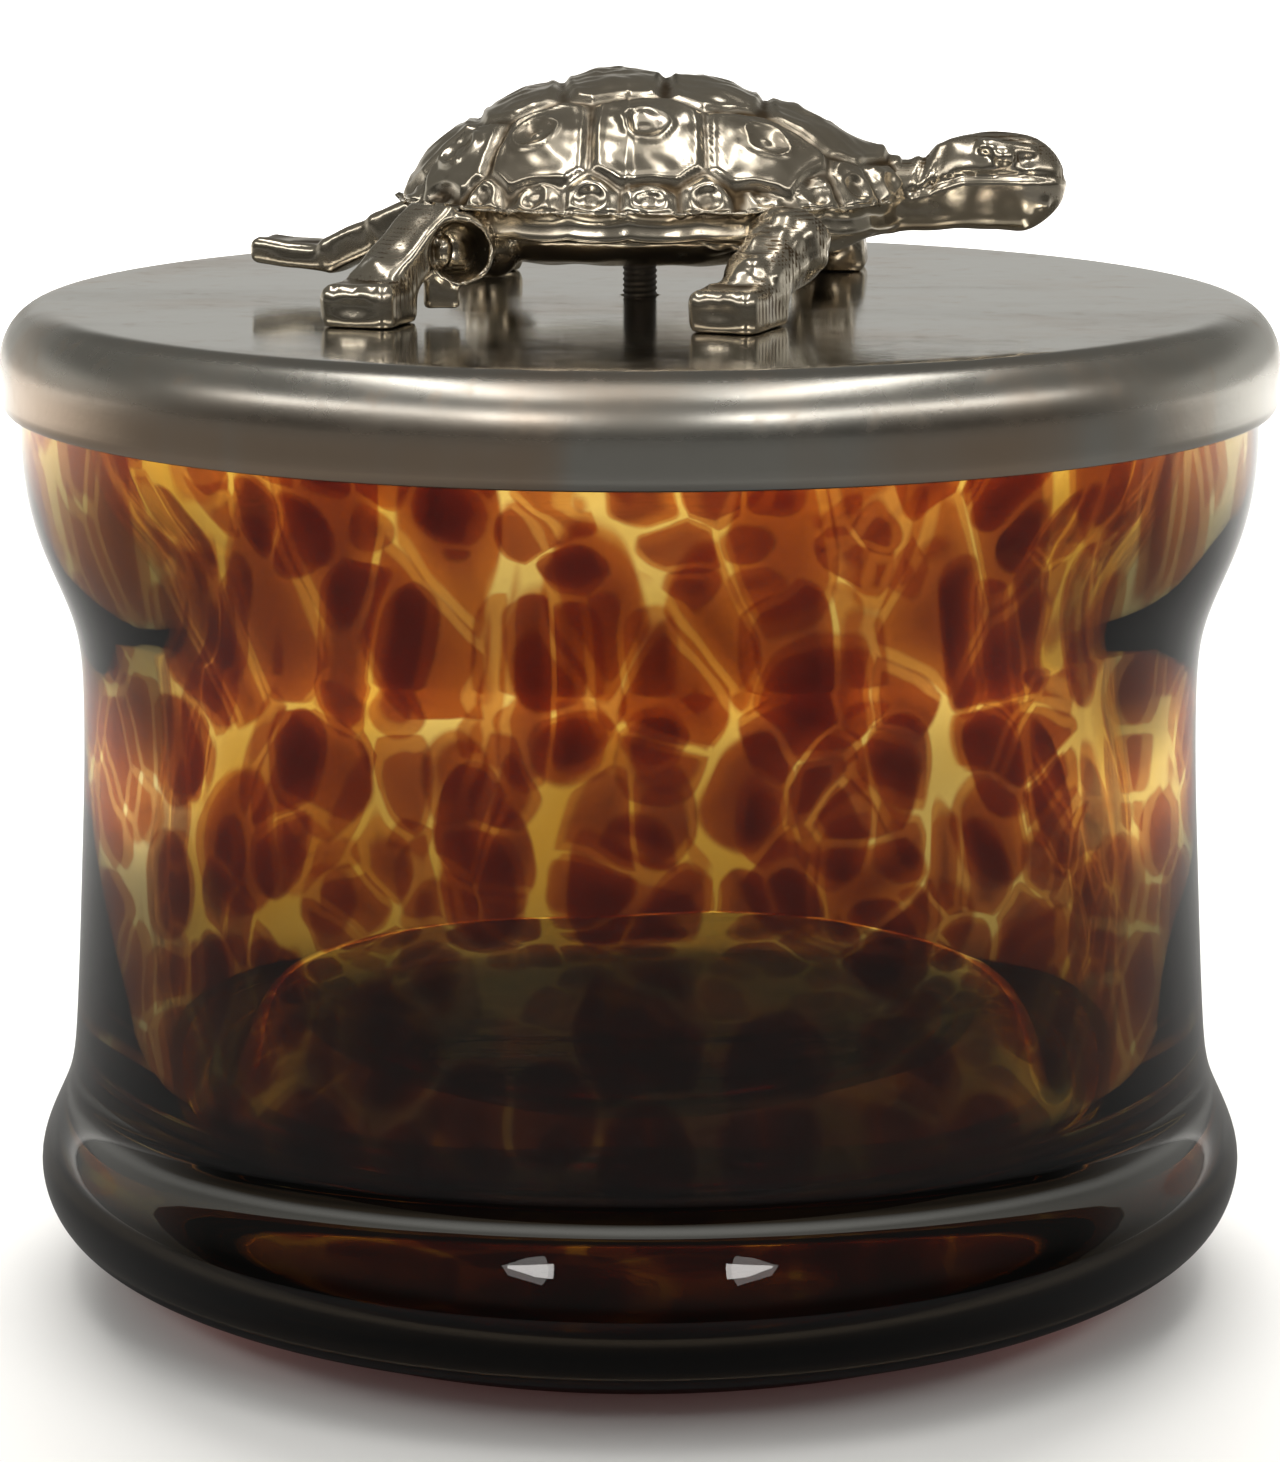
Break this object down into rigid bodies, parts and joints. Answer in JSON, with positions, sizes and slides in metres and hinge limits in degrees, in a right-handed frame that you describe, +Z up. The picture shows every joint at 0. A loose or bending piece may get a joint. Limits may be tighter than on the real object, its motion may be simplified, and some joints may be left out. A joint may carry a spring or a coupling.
{
  "type": "lidded glass vanity jar",
  "caption": "Round thick-walled tortoiseshell glass jar with a flared neck, closed by a lift-off plated metal cap lid that carries a cast tortoise as its handle.",
  "frame": {"origin": "centre of the base, on the plane that the jar stands on", "axes": "+Z up along the jar's axis; +X the way the tortoise looks; -Y the side that faces the viewer"},
  "size_m": [0.11, 0.11, 0.1055],
  "materials": {
    "clear_glass": "smoky clear glass, fire polished",
    "tortoiseshell_glass": "amber glass with rounded brown cells",
    "lid_silver": "silver-plated brass, polished, slightly hazy and tarnished",
    "tortoise_silver": "silver-plated cast brass, warm, polished, dark in the recesses",
    "stud_steel": "darkened steel",
    "fixing_brass": "plain turned brass"
  },
  "bodies": {
    "jar": {"jar_casing": "clear_glass", "tortoiseshell_layer": "tortoiseshell_glass"},
    "lid": {"lid_cap": "lid_silver", "tortoise_carapace": "tortoise_silver", "tortoise_body": "tortoise_silver", "fixing_stud": "stud_steel", "lid_washer": "fixing_brass", "retaining_nut": "fixing_brass"}
  },
  "joints": [
    {"name": "lid_lift", "type": "slide", "parent": "jar", "child": "lid", "axis": [0, 0, 1], "range_m": [0, 0.08]}
  ]
}
